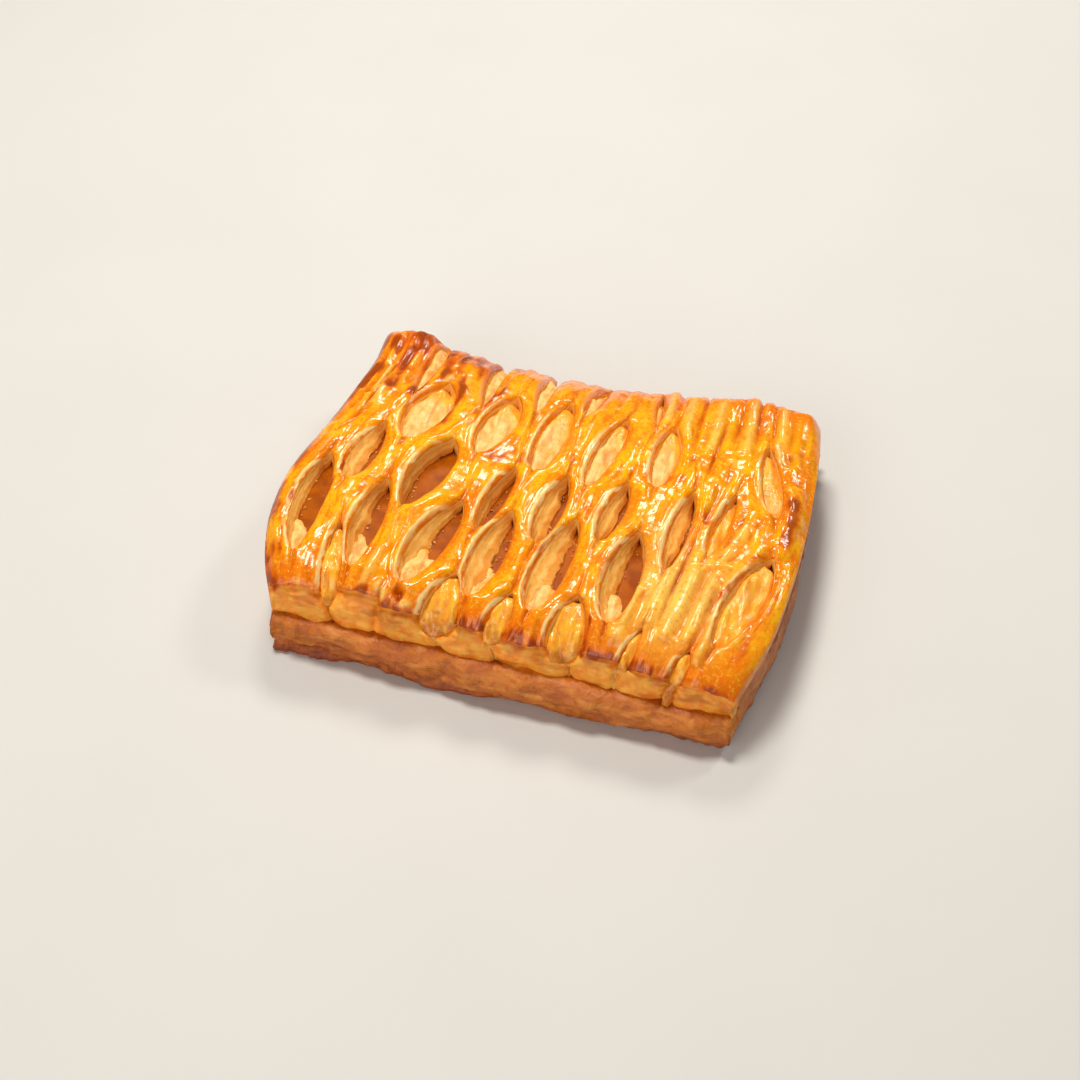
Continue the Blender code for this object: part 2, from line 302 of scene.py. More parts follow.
def cut_grid(columns, rows, is_cut):
    """A flat grid of unit cells, open along its cut edges, and the layers that its points carry."""
    bm = bmesh.new()
    bmesh.ops.create_grid(bm, x_segments=columns, y_segments=rows, size=1.0)
    for vert in bm.verts:
        vert.co.x = round((vert.co.x + 1.0) / 2 * columns)
        vert.co.y = round((vert.co.y + 1.0) / 2 * rows)
    if is_cut:
        bmesh.ops.split_edges(bm, edges=[edge for edge in bm.edges if is_cut(edge)])
    layers = {name: bm.verts.layers.float.new(name) for name in ("u", "v", "level", "side")}
    for vert in bm.verts:
        centres = [face.calc_center_median().x for face in vert.link_faces]
        offset = sum(centres) / len(centres) - vert.co.x
        vert[layers["u"]] = vert.co.x
        vert[layers["v"]] = vert.co.y
        vert[layers["side"]] = float(np.sign(round(offset, 3)))
    return bm, layers


def make_slab(columns, rows, rings, is_cut=None, keep_bottom=True):
    """A flat closed slab of unit cells, with rings round its walls.

    Its points carry u and v in cells, level from 0 at the bottom to 1 on top, and side, which is
    -1 or 1 on the two lips of a cut.
    """
    bm, layers = cut_grid(columns, rows, is_cut)
    bottom = bm.faces[:]
    made = bmesh.ops.extrude_face_region(bm, geom=bottom, use_keep_orig=True)
    for vert in (item for item in made["geom"] if isinstance(item, bmesh.types.BMVert)):
        vert[layers["level"]] = 1.0
        vert.co.z = 1.0
    level = layers["level"]
    uprights = [edge for edge in bm.edges if edge.verts[0][level] != edge.verts[1][level]]
    if not keep_bottom:
        bmesh.ops.delete(bm, geom=bottom, context="FACES")
        rim = [edge for edge in bm.edges if edge.is_boundary]
        bmesh.ops.holes_fill(bm, edges=rim, sides=0)
    bmesh.ops.recalc_face_normals(bm, faces=bm.faces)
    bmesh.ops.subdivide_edges(bm, edges=uprights, cuts=rings)
    places = {name: np.round([vert[layer] for vert in bm.verts], 4) for name, layer in layers.items()}
    for layer in layers.values():
        bm.verts.layers.float.remove(layer)
    return bm, places


def finish_slab(name, bm, points, looks, material, node=None):
    """The object of a shaped slab: its points in millimetres, and its looks as point attributes."""
    mesh = bpy.data.meshes.new(name)
    bm.to_mesh(mesh)
    bm.free()
    mesh.vertices.foreach_set("co", (points * MM).astype(np.float32).ravel())
    for key, values in looks.items():
        attribute = mesh.attributes.new(key, "FLOAT", "POINT")
        attribute.data.foreach_set("value", np.asarray(values, dtype=np.float32))
    mesh.update()
    mesh.shade_smooth()
    mesh.materials.append(material)
    piece = bpy.data.objects.new(name, mesh)
    bpy.context.scene.collection.objects.link(piece)
    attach(piece, "root")
    if node:
        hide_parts(node)
    return piece


# ---- the lattice sheet ----

LATTICE_ROWS = 300
WALL_RINGS = 9
SHEET_DEPTH = 4.4
LIP_DEPTH = 6.0
RIGHT_WALL_SLOPE = 0.03
BEAD_PLACE = 0.9
BEAD_RISE = 0.46
NO_LIP = 9.0
# Where the glaze ends on each tab, from left to right, as a distance along the arch
FRONT_LEDGES = np.array((47.6, 45.4, 47.8, 48.4, 48.8, 48.2, 49.0, 49.6))
BACK_LEDGE = 51.0
FOOT_WANDER = 0.9
STRIP_WIDTH = 8.0
TIP_CREASE_LENGTH = 6.0
# A broad, pale painted highlight right of the crust's middle: its place, reach and strength
PAINTED_HIGHLIGHT_PLACE = (41.0, -27.0)
PAINTED_HIGHLIGHT_REACH = 13.0
PAINTED_HIGHLIGHT_STRENGTH = 0.7
# Ridges as deep as this are twisted into ropes, which bake brown; shallower ridges carry a painted
# highlight on their tops
ROPE_DEPTH = -1.2
# Folds and dents, and ridges whose depth is below 0: their two ends, reach and depth
CREASES = [
    ((-60.5, -18), (-59, -41), 0.6, 0.8), ((-60, 20), (-57.5, 42), 0.8, 0.9),
    ((-56.5, 18), (-54, 45), 0.8, 1), ((-50.5, 22), (-48.5, 46), 0.9, 1),
    ((-46.5, 30), (-44.5, 48), 0.7, 0.7), ((-60.5, 6), (-57, 16), 0.7, 0.6),
    ((-58, 2), (-52.5, 13), 0.7, 0.6), ((-36.5, 36), (-34, 50), 0.8, 0.7),
    ((-30.5, 33), (-29, 50), 0.8, 0.7), ((-20.5, 30), (-18, 48), 0.7, 0.6),
    ((10.5, 32), (11, 48), 0.7, 0.6), ((25.5, 36), (25, 54), 0.7, 0.6),
    ((43, 24), (42, 46), 0.7, 0.7), ((52, 31), (50.5, 50), 0.8, 0.7),
    ((57.5, 24), (55.5, 46), 0.7, 0.8), ((60.8, 18), (59, 44), 0.7, 0.8),
    ((33, 4), (34, 17), 0.8, 0.5), ((41.5, -3), (44, 14), 0.8, 0.5),
    ((47.5, -3), (45.5, -12), 0.6, 0.5), ((50.5, 3), (47.5, -14), 0.7, 0.6),
    ((54.5, 2), (50, -14), 0.8, 0.7), ((46.5, -18), (43.5, -38), 0.8, 0.7),
    ((50, -24), (48.5, -40), 0.7, 0.6), ((61.5, -14), (58.5, -40), 0.7, 0.7),
    ((-23.6, -43.6), (-23.4, -44.4), 1.1, 1.6), ((2.4, -53), (2.4, -54), 0.8, 1.2),
    ((-29, -43), (-26, -46), 1.2, -0.9), ((-26, -46), (-21, -45.6), 1.1, -0.9),
    ((60.6, 15), (61.4, 6), 1.7, -1.5), ((61.4, 6), (60.4, -5), 1.5, -1.6),
    ((58.8, 4), (58.6, 14), 0.8, 0.9), ((57.4, -9), (59.6, -4), 0.8, 0.7),
    ((37.5, -22), (35.5, -36), 1.3, -0.7), ((43.2, -20), (41, -38), 1.3, -0.8),
    ((48, -21), (46, -38), 1.1, -0.7), ((31.5, -28), (30, -42), 1.2, -0.7),
    ((52, -30), (50, -43), 1, -0.6), ((-31.5, -34), (-33.5, -46), 1, -0.7),
    ((-51, 14), (-54.5, 30), 1.1, -0.7), ((24, 30), (23, 46), 1.1, -0.6),
    ((30, 26), (28.5, 44), 1.1, -0.6), ((37.5, 22), (36.5, 44), 1.1, -0.6),
    ((46, 24), (45, 46), 1.1, -0.6), ((54.5, 24), (53.5, 44), 1, -0.6),
    ((33.5, -2), (31.5, -14), 1, -0.5), ((51.5, -2), (48, -16), 1, -0.6),
    ((-33.5, -33), (-35, -44), 0.7, 0.5), ((30.5, -29), (29, -40), 0.7, 0.5),
]
# Places baked darker: their two ends, reach and strength
SCORCHES = [
    ((-45, 18), (-36.5, 31), 1.3, 1.1), ((-29, 30), (-31, 12), 1, 0.9),
    ((-36, 6), (-31.5, 11), 0.8, 0.8), ((-24, 17), (-19.5, 28), 1.1, 1),
    ((-60, 20), (-57.5, 42), 1.3, 1.1), ((-56.5, 18), (-54, 45), 1.3, 1.2),
    ((-50.5, 22), (-48.5, 46), 1.6, 1), ((-38, 41), (-28, 42), 3.4, 0.8),
    ((60.8, 15), (61.2, -4), 2, 1.1), ((-50.4, -8), (-51, -30), 0.6, 1.1),
    ((-60.5, -18), (-59, -41), 0.6, 0.8), ((-14, 2.5), (-10, 5), 2.2, 0.5),
    ((22.6, -36.5), (22.4, -48.5), 0.8, 1.2), ((34.6, -38.5), (33.9, -48.8), 0.8, 1.2),
    ((23, -47.6), (30, -46.8), 1.6, 0.9), ((34.5, -47.5), (43, -48), 1.8, 1),
    ((49, -47.8), (58, -49), 1, 0.7), ((6.5, -47.5), (12.5, -47.5), 2.2, 1),
    ((-9, -47.5), (-3, -47.5), 1.6, 0.9), ((-23.6, -43.6), (-23.3, -44.6), 0.9, 1),
    ((56.5, -10), (48.5, -28), 0.9, 0.8), ((62.5, -12), (60, -40), 1.2, 0.7),
    ((5, 46), (16, 46), 2.8, 1), ((48, 10.5), (53, 8.5), 1.8, 0.7),
    ((40.5, -1), (41.5, -6), 2.6, 0.55), ((-2.5, 34), (4, 42), 2, 0.6),
    ((59, 30), (61.5, 19), 0.8, 0.9), ((-62, -46), (-60, -47.5), 1.8, 0.8),
    ((-39, -29), (-39, -41), 0.8, 0.6), ((-64.2, 30), (-64.6, -40), 1.5, 1.1),
    ((-8, -13), (-7, -9), 1.6, 0.5), ((6, -23), (8, -26), 1.6, 0.4),
    ((-16, 6), (-2, 3), 3.6, 0.42), ((6, 7), (16, 5), 3.4, 0.4),
    ((26, 9), (44, 7), 4, 0.42), ((20, -20), (22, -30), 2.4, 0.5),
    ((-36, -46), (8, -46), 3, 0.4), ((-30, 10), (-22, 14), 3, 0.35),
    ((-62, -38), (-58, -46), 3, 0.5), ((30, -20), (33, -30), 2.2, 0.4),
]

row_along = np.linspace(-ARCH_LENGTH, ARCH_LENGTH, LATTICE_ROWS + 1)
end_x = np.full_like(row_along, HALF_LENGTH)


def by_line(reading, at_ends):
    """Readings along every slit line, between those of the left and the right end."""
    inner = [reading(line, row_along) for line in range(SLIT_LINES)]
    return np.array([-at_ends * end_x] + inner + [at_ends * end_x])


middles = by_line(line_x, 1)
gaps = by_line(half_gap, 0)
creases = by_line(shut_crease, 0)
banks = by_line(bank_share, 0)
left_lips = by_line(left_lip, 0)


def is_lattice_cut(edge):
    a, b = (vert.co for vert in edge.verts)
    index = a.x / CELLS_PER_COLUMN
    if a.x != b.x or index != int(index) or not 1 <= index <= SLIT_LINES:
        return False
    return gaps[int(index), int(a.y)] + gaps[int(index), int(b.y)] > 0


def strip_profile(x, row):
    """How deep the strips lie below their crowns, how far off the nearest slit and left lip are, and
    the painted shade in folds and along right lips.
    """
    drop = np.zeros_like(x)
    nearest = np.full_like(x, 99)
    lip = np.full_like(x, NO_LIP)
    lines = np.zeros_like(x)
    for index in range(1, SLIT_LINES + 1):
        half = gaps[index, row]
        offset = x - middles[index, row]
        distance = np.maximum(np.abs(offset) - half, 0)
        opened = step(0, 1.2, half)
        rounding = 1.1 * np.clip(1 - distance / 3.4, 0, 1) ** 2 + 0.4 * bell(distance, 0.3)
        bead = BEAD_RISE * bell(distance - BEAD_PLACE, 0.5) - 0.35 * bell(distance - 2.3, 0.5)
        bead = bead * left_lips[index, row]
        drop = np.maximum(drop, opened * (rounding - np.where(offset < 0, bead, 0)))
        nearest = np.where(half > 0, np.minimum(nearest, distance), nearest)
        faded = distance + 2 * (1 - left_lips[index, row])
        lip = np.where((offset < 0) & (opened > 0.3), np.minimum(lip, faded), lip)
        fold = bell(offset, 0.6) - 0.45 * bell(np.abs(offset) - 1.6, 0.9)
        drop = drop + creases[index, row] * fold
        lines = np.maximum(lines, creases[index, row] * bell(offset, 0.5))
        # Painted shade along the right lips, and in the folds above
        lines = np.maximum(lines, 0.7 * opened * bell(distance, 0.4) * (offset > 0))
    return drop, nearest, lip, lines


def tab_profile(x, along, row):
    """The step at the end of each glazed tab, and the soft bricks of plain dough below it."""
    odd_lines = range(2, SLIT_LINES + 1, 2)
    tab = sum((x > middles[index, row]).astype(int) for index in odd_lines)
    ledge = np.where(along < 0, FRONT_LEDGES[tab], BACK_LEDGE)
    past = np.abs(along) - ledge - 0.7 * noise(plane(x, 9 * np.sign(along)), 5, 3)
    brick = step(0, 0.35, past)
    edge = np.min([np.abs(x - middles[index, row]) - gaps[index, row] for index in odd_lines], axis=0)
    pillow = 0.7 * bell(edge, 0.8) + 0.5 * bell(ARCH_LENGTH - np.abs(along), 1.4)
    pillow = pillow - 0.65 * noise(plane(0.5 * x, along), 2.8, 4)
    return brick * (LEDGE_STEP + pillow + 0.4 * bell(past - 0.7, 0.5)), brick, past


def tip_creases(x, along):
    """The folds that run on a little way past both tips of every open slit, 1 in their middles."""
    total = np.zeros_like(x)
    for slit in (slit for slit in SLITS if slit.floor in OPEN_FLOORS):
        run = np.subtract(slit.back, slit.front) / math.dist(slit.back, slit.front)
        for tip, way in ((slit.front, -run), (slit.back, run)):
            off = near_stroke(x, along, tip, tip + way * TIP_CREASE_LENGTH)
            far = np.hypot(x - tip[0], along - tip[1]) / TIP_CREASE_LENGTH
            total = np.maximum(total, bell(off, 0.5) * np.clip(1.2 - far, 0, 1))
    return total


def sheet_x(row, left, share, side, ragged, fall):
    """x of the sheet's points; fall is 0 at the slits' lips and 1 at the foot of their walls."""
    def lip_x(index, lip_side):
        slope = np.where(lip_side < 0, banks[index, row], RIGHT_WALL_SLOPE) * (1 + 0.14 * ragged)
        return middles[index, row] + lip_side * gaps[index, row] * (1 - 2 * slope * fall)

    right = np.minimum(left + 1, SLIT_LINES + 1)
    between = (1 - share) * lip_x(left, 1) + share * lip_x(right, -1)
    return np.where(share < 1e-4, lip_x(left, side), between)


def fold_crust(x, along, drop, lines):
    """Adds the folds, dents and ridges: how deep the crust lies, the painted shade in its folds, and a
    painted highlight right of its middle and on the tops of its shallower ridges.
    """
    tips = tip_creases(x, along)
    drop = drop + 0.7 * tips
    lines = np.maximum(lines, 0.8 * tips)
    # A painted highlight right of the middle, and on the tops of ridges that are not ropes
    painted_highlight = PAINTED_HIGHLIGHT_STRENGTH * bell(np.hypot(x - PAINTED_HIGHLIGHT_PLACE[0], along - PAINTED_HIGHLIGHT_PLACE[1]), PAINTED_HIGHLIGHT_REACH)
    for start, end, reach, depth in CREASES:
        off = near_stroke(x, along, start, end)
        drop = drop + depth * (bell(off, reach) - 0.35 * bell(off - 2.2 * reach, reach))
        painted_highlight = np.maximum(painted_highlight, -depth * bell(off, 0.9 * reach) * (depth > ROPE_DEPTH))
        lines = np.maximum(lines, depth * bell(off, 0.6 * reach))
    return drop, lines, painted_highlight


def browning(x, along, across, brick, past, on_end):
    """How brown the crust has baked: in the listed places, at the back left and on the tabs' ends."""
    spots = plane(x, along)
    stray = 0.7 * noise(spots, 3, 24)
    scorch = sum(strength * bell(near_stroke(x, along, start, end) + stray, reach)
                 for start, end, reach, strength in SCORCHES)
    scorch = scorch + 0.75 * bell(along - 38, 18) * step(0, -34, x)
    scorch = scorch + 0.5 * step(-57, -64, x)
    tab_end = 1.05 * (1 - brick) * bell(np.minimum(past, 0), 2.4) * step(-0.7, 0.6, noise(spots, 4, 21))
    patches = 0.35 * step(0.1, 0.9, noise(spots, 9, 22))
    mottle = 0.72 + 0.75 * noise(plane(across, 0.3 * along), 1.8, 23, 3)
    return np.clip(mottle * (scorch + tab_end + patches + 0.4 * on_end), 0, 1.3)


def crust_swell(spots, across, along):
    """The crust's rise and fall, drawn out along the strips."""
    strands = noise(plane(across, 0.22 * along), 2.6, 7, 2)
    return 0.6 * noise(spots, 13, 5, 2) + 0.14 * noise(spots, 2.6, 6, 3) + 0.4 * strands


def wall_layers(spots, level, ragged):
    """How far the layers of dough stand out from the slits' walls."""
    return 0.14 * np.sin(level * 26 + 2 * noise(spots, 5, 8)) + 0.3 * ragged * (1 - level)


def make_lattice(material):
    columns = CELLS_PER_COLUMN * (SLIT_LINES + 1)
    bm, at = make_slab(columns, LATTICE_ROWS, WALL_RINGS, is_lattice_cut)
    level, side = at["level"], at["side"]
    row = np.rint(at["v"]).astype(int)
    along = row_along[row]
    left = np.floor(at["u"] / CELLS_PER_COLUMN + 1e-6).astype(int)
    share = 0.5 - 0.5 * np.cos(math.pi * (at["u"] / CELLS_PER_COLUMN - left))
    # Measured across the strips, for what is drawn out along them
    across = STRIP_WIDTH * (left + share)
    ragged = noise(plane(along, 20 * left, 8 * side), 3.6, 11, 3)
    top_x = sheet_x(row, left, share, side, ragged, 0)
    x = sheet_x(row, left, share, side, ragged, (1 - level) ** 1.5)
    spots = plane(top_x, along)

    drop, nearest, lip, lines = strip_profile(top_x, row)
    step_drop, brick, past = tab_profile(top_x, along, row)
    drop, lines, painted_highlight = fold_crust(top_x, along, drop, lines)
    swell = crust_swell(spots, across, along)
    top_depth = 0.45 + np.maximum(drop, -0.5) * (1 - 0.5 * brick) + step_drop - swell * (1 - 0.6 * brick)
    opened = bell(nearest, 1.2)
    bottom_depth = SHEET_DEPTH + (LIP_DEPTH - SHEET_DEPTH) * opened + 0.35 * ragged * opened
    rise = level ** 0.8
    depth = top_depth * rise + bottom_depth * (1 - rise)
    wall = (side != 0) & (level < 1)
    x = x - side * wall_layers(spots, level, ragged) * wall * np.minimum(gaps[left, row], 1)
    points = loaf_points(x, along, depth)
    foot = bell(ARCH_LENGTH - np.abs(along), 3)
    points[:, 2] += FOOT_WANDER * foot * noise(plane(x, 30 * np.sign(along)), 8, 25, 2)

    on_end = (at["u"] < 0.5) | (at["u"] > columns - 0.5)
    looks = {
        "glaze": (1 - brick) * step(0.80, 0.98, level),
        "level": np.where(on_end, 1, level),
        "across": across,
        "along": along,
        "brown": browning(top_x, along, across, brick, past, on_end),
        "lip": lip + 0.35 * noise(spots, 1.6, 26, 2),
        # Where a painted highlight lies on the crust
        "painted_highlight": painted_highlight,
        # Painted shade in folds and along the right lips
        "lines": np.clip(lines * (0.75 + 0.5 * noise(spots, 2.5, 27, 2)), 0, 1),
        # Painted shade where the crust lies low between the strips
        "painted_valley_shade": step(0.3, 1.5, top_depth),
    }
    return finish_slab("lattice_crust", bm, points, looks, material, "lattice_top")


# ---- the base ----

BASE_HALF_LENGTH = BASE_HIGH[0] - 0.2
BASE_COLUMNS = 214
BASE_ROWS = 200
BASE_RINGS = 13
BASE_BULGE = 3.6
BASE_INSET = 1.2
RIM_HEIGHT = 10.8
FRONT_BELLY = 1.6
FRONT_BELLY_PLACE = 9.0
FRONT_BELLY_REACH = 32.0
RIGHT_BELLY = 1.6
# How far the thin burnt edge stands out along the foot of the front side, from left to right
FLANGE = ((-66, 3.2), (-54, 3.8), (-42, 3.4), (-32, 1.4), (-22, 2), (-10, 2.6), (2, 1.2), (22, 0.6),
          (42, 0.9), (66, 1.6))
BANK_DEPTH = 5.0
TROUGH_MIDDLE = -11.5
TROUGH_HALF_WIDTH = 23.0
TROUGH_DEPTH = 10.0
PIECE_GAP = 0.6
# How deep the dough in the slits lies, and how much deeper at their right walls
PUFF_DEPTH = 2.8
PUFF_TILT = 1.1
# How far it reaches past their walls
PUFF_MARGIN = 0.6
# How deep it lies between the glazed tabs in front of this place
TAB_PUFF_DEPTH = 1.9
FRONT_TABS = -20.0
# How deep it lies in the seams between two bricks, which are narrower than this gap
SEAM_DEPTH = 3.0
SEAM_GAP = 1.0
# How deep it lies in front of the filling, and how much deeper where it slips under the filling
END_PUFF_DEPTH = 4.0
END_PUFF_SLOPE = 2.0


def is_seam(slit):
    return slit.floor == "groove" and slit.gap < SEAM_GAP


def is_between_tabs(slit):
    return slit.floor != "jelly" and slit.back[1] < FRONT_TABS


def puff_up(slit, tilt, along, lumps):
    """How far the dough has puffed up in a slit, from 0 to 1, and how deep it lies there.

    tilt runs from -1 at the slit's left wall to 1 at its right one.
    """
    puffed = np.clip(1 - tilt ** 8, 0, 1)
    if slit.floor == "jelly":
        slope = END_PUFF_SLOPE * step(-38, -24, along + 1.5 * lumps)
        puffed = puffed * step(-18, -30, along + 3.5 * tilt + 1.6 * lumps)
        return puffed, END_PUFF_DEPTH + PUFF_TILT * tilt + slope
    if slit.floor != "groove":
        puffed = puffed * np.minimum(3 * eye(slit, along), 1)
    if is_seam(slit):
        return puffed, SEAM_DEPTH
    if is_between_tabs(slit):
        return puffed, TAB_PUFF_DEPTH
    return puffed, PUFF_DEPTH + PUFF_TILT * tilt


def wetness_and_shade(slit, tilt, along, lumps):
    """How far the dough in a slit is soaked with glaze or filling, from 0 to 1, together with painted
    shade at its edges and along its right wall, and towards the back end of a dough slit.
    """
    if is_seam(slit):
        return 0.3
    if is_between_tabs(slit):
        return 1.0
    if slit.floor == "flaky":
        return np.minimum(0.75 + 0.2 * lumps, 1)
    # Painted shade at the floor's edges and along its right wall, below the right strip's overhang
    edge = 0.7 * step(0.5, 1, np.abs(tilt)) + 0.5 * step(0, 0.9, tilt)
    if slit.floor == "jelly":
        return np.minimum(0.4 * edge + 0.5 * step(-34, -26, along), 1)
    # Painted shade also darkens the back end of a dough floor
    return np.minimum(edge + step(0.55, 0.95, reach_in(slit, along)), 1)


def puffs(x, along):
    """How far the base's dough has puffed up into slits, its depth there, and how soaked it is, painted
    shade on the floors included.
    """
    puffed = np.zeros_like(x)
    target = np.full_like(x, PUFF_DEPTH)
    wet_and_shade = np.zeros_like(x)
    lumps = noise(plane(x, along), 3, 39, 2)
    for line in range(SLIT_LINES):
        half = half_gap(line, along)
        tilt = np.clip((x - line_x(line, along)) / (half + PUFF_MARGIN), -1, 1)
        for slit in (slit for slit in on_line(line) if slit.floor != "shut"):
            here, depth = puff_up(slit, tilt, along, lumps)
            here = here * (along >= slit.front[1]) * (along <= slit.back[1]) * (half > 0)
            better = here > puffed
            puffed = np.where(better, here, puffed)
            target = np.where(better, depth, target)
            wet_and_shade = np.where(better, wetness_and_shade(slit, tilt, along, lumps), wet_and_shade)
    return puffed, target, wet_and_shade


def base_top(x, along):
    """Points of the base's upper side, its folds, how far it has puffed up, and how soaked it is, painted
    shade included.
    """
    trough = np.minimum(np.abs(along - TROUGH_MIDDLE) / TROUGH_HALF_WIDTH, 1)
    bed = BANK_DEPTH + TROUGH_DEPTH * (1 - trough ** 3)
    puffed, target, wet_and_shade = puffs(x, along)
    depth = bed + (target - bed) * np.where(bed > target, puffed, 0)
    folds = noise(plane(x + 0.2 * along, 0.3 * along), 2, 36, 3)
    crumpled = 0.7 + 0.4 * np.maximum(step(-34, -44, along), step(42, 48, x))
    spots = plane(x, along)
    depth = depth + 0.35 * noise(spots, 4, 31) + 0.16 * noise(spots, 1.3, 32)
    depth = depth + crumpled * folds * puffed
    return loaf_points(x, along, depth) - np.array((0, 0, PIECE_GAP / 2)), folds, puffed, wet_and_shade


def side_relief(x, height, level, way):
    """How far the sides stand out, with their shares from a fold and from the burnt foot.

    way is -1 at the front and 1 at the back.
    """
    front = way < 0
    wrinkles = noise(plane(x, height * 2.5, 30 * way), 7, 33)
    pinches = noise(plane(x, height * 1.2, 30 * way), 1.8, 34)
    fold = 0.8 * bell(level - 0.52 - 0.05 * wrinkles, 0.035) * step(0, -25, x)
    roll = 1 - np.abs(2 * level - 1) ** np.where(level > 0.5, 8, 2.4)
    swell = BASE_BULGE * roll * (1 + 0.2 * wrinkles)
    flange = step(0.2, 0.08, level) * curve(FLANGE, x) * (1 + 0.2 * wrinkles) * front
    belly = FRONT_BELLY * bell(x - FRONT_BELLY_PLACE, FRONT_BELLY_REACH) * front * step(1, 0.6, level)
    shelves = noise(plane(0.28 * x, 1.6 * height, 30 * way), 2.6, 37, 3) * step(0, 0.1, level)
    bulk = swell + belly - fold + flange + 0.2 * pinches + 0.8 * shelves * step(1, 0.9, level)
    return bulk, fold, flange


def make_base(material):
    bm, at = make_slab(BASE_COLUMNS, BASE_ROWS, BASE_RINGS, keep_bottom=False)
    u = 2 * at["u"] / BASE_COLUMNS - 1
    v = 2 * at["v"] / BASE_ROWS - 1
    level = at["level"]
    inner = 1 - 2 / BASE_ROWS
    x = u * BASE_HALF_LENGTH
    along = np.clip(v / inner, -1, 1) * ARCH_LENGTH
    top, folds, puffed, wet_and_shade = base_top(x, along)
    rim_y = np.copysign(HALF_WIDTH - BASE_BULGE, v)
    rim_z = RIM_HEIGHT + 0.6 * noise(plane(x, 30 * np.sign(v)), 9, 38)
    rim = np.stack([bowed(x, rim_y), rim_y, rim_z], axis=-1)
    outermost = np.abs(v) > inner + 1e-6
    top = np.where(outermost[:, None], rim, top)
    foot_y = v * (HALF_WIDTH - BASE_BULGE)
    foot = np.stack([bowed(u * (BASE_HALF_LENGTH - BASE_INSET), foot_y), foot_y, 0 * x], axis=-1)
    points = foot + (top - foot) * level[:, None]

    height = points[:, 2]
    bulk, fold, flange = side_relief(x, height, level, np.sign(v))
    points[:, 1] += np.where(np.abs(v) > 1 - 1e-6, np.sign(v) * bulk, 0)
    flakes = noise(plane(points[:, 1] / 9, height, 30 * np.sign(u)), 1.1, 35)
    end_belly = RIGHT_BELLY * (1 - (2 * level - 1) ** 2) * (u > 0)
    on_end = np.abs(u) > 1 - 1e-6
    points[:, 0] += np.where(on_end, np.sign(u) * (0.55 * flakes - 0.2 + end_belly), 0)
    points[:, 2] = np.where(level < 1e-6, 0, points[:, 2])

    on_top = level > 0.999
    toasted = 0.7 * step(-43, -54, along) * puffed * step(-0.3, 0.8, folds) * on_top
    looks = {
        # Painted shade along the fold on the left part of the sides; the foot and the burnt flange are
        # darker
        "brown": np.clip(0.3 * flange + 0.5 * step(0.16, 0, level) + fold + toasted, 0, 1),
        "low": step(0.75, 0.15, level),
        "pale": on_top * (np.abs(v) < inner - 0.02) * 1,
        # Soaked dough, and painted shade on the slits' floors
        "wet_and_shade": on_top * wet_and_shade * puffed,
        "along": along,
        "across": x,
    }
    return finish_slab("dough_base", bm, points, looks, material, "pastry_base")


# ---- the filling ----

FILLING_HALF_LENGTH = 64.2
FILLING_COLUMNS = 180
FILLING_ROWS = 56
FILLING_RINGS = 6
JELLY_DEPTH = 6.0
FILLING_SPAN = 0.95
FILLING_SWELL = 1.0


def make_filling(material):
    bm, at = make_slab(FILLING_COLUMNS, FILLING_ROWS, FILLING_RINGS)
    u = 2 * at["u"] / FILLING_COLUMNS - 1
    v = 2 * at["v"] / FILLING_ROWS - 1
    level = at["level"]
    x = u * FILLING_HALF_LENGTH
    along = TROUGH_MIDDLE + v * FILLING_SPAN * TROUGH_HALF_WIDTH
    spots = plane(x, along)
    trough = np.abs(along - TROUGH_MIDDLE) / TROUGH_HALF_WIDTH
    top_depth = JELLY_DEPTH + 0.25 * noise(spots, 7, 41)
    bottom_depth = np.maximum(BANK_DEPTH + TROUGH_DEPTH * (1 - trough ** 3), top_depth + 0.4)
    points = loaf_points(x, along, top_depth * level + bottom_depth * (1 - level))
    on_end = np.abs(u) > 1 - 1e-6
    lumps = noise(plane(points[:, 1], points[:, 2], 30 * np.sign(u)), 3, 42)
    bulge = FILLING_SWELL * (1 - (2 * level - 1) ** 2) * (0.7 + 0.5 * lumps)
    points[:, 0] += np.where(on_end, np.sign(u) * bulge, 0)
    return finish_slab("jelly", bm, points, {}, material, "fruit_filling")


# ---- crumbs of crust that lie on the filling's edges ----

CRUMBS_PER_SLIT = 15
CRUMB_SIZES = (0.1, 0.34)


def make_crumbs(material):
    chance = np.random.default_rng(7)
    bm = bmesh.new()
    for slit in (slit for slit in SLITS if slit.floor == "jelly"):
        reach = chance.uniform(0.2, 0.95, CRUMBS_PER_SLIT)
        along = slit.front[1] + reach * (slit.back[1] - slit.front[1])
        half = half_gap(slit.line, along)
        on_left = chance.random(CRUMBS_PER_SLIT) < 0.6
        offset = np.where(on_left, 2 * slit.bank - 1.0, 1.0) * half
        offset = offset + np.where(on_left, 1, -1) * chance.uniform(0.0, 1.0, CRUMBS_PER_SLIT) ** 2 * 1.6
        x = line_x(slit.line, along) + offset
        for place in loaf_points(x, along, np.full_like(x, JELLY_DEPTH - 0.15)):
            shift = Matrix.Translation(place)
            radius = chance.uniform(*CRUMB_SIZES)
            bmesh.ops.create_icosphere(bm, subdivisions=2, radius=radius, matrix=shift)
    points = np.array([vert.co for vert in bm.verts])
    points = points + 0.26 * np.stack([noise(points, 0.5, seed) for seed in (51, 52, 53)], axis=-1)
    looks = {"brown": 0.35 * step(-0.5, 0.8, noise(points, 2.0, 54)), "pale": np.full(len(points), 0.3)}
    return finish_slab("crumbs", bm, points, looks, material)


# ---- materials ----

def srgb(red, green, blue):
    """A colour given as 0 to 255 screen values, as the linear values that shaders take."""
    parts = [part / 255 for part in (red, green, blue)]
    return tuple(p / 12.92 if p <= 0.04045 else ((p + 0.055) / 1.055) ** 2.4 for p in parts) + (1.0,)


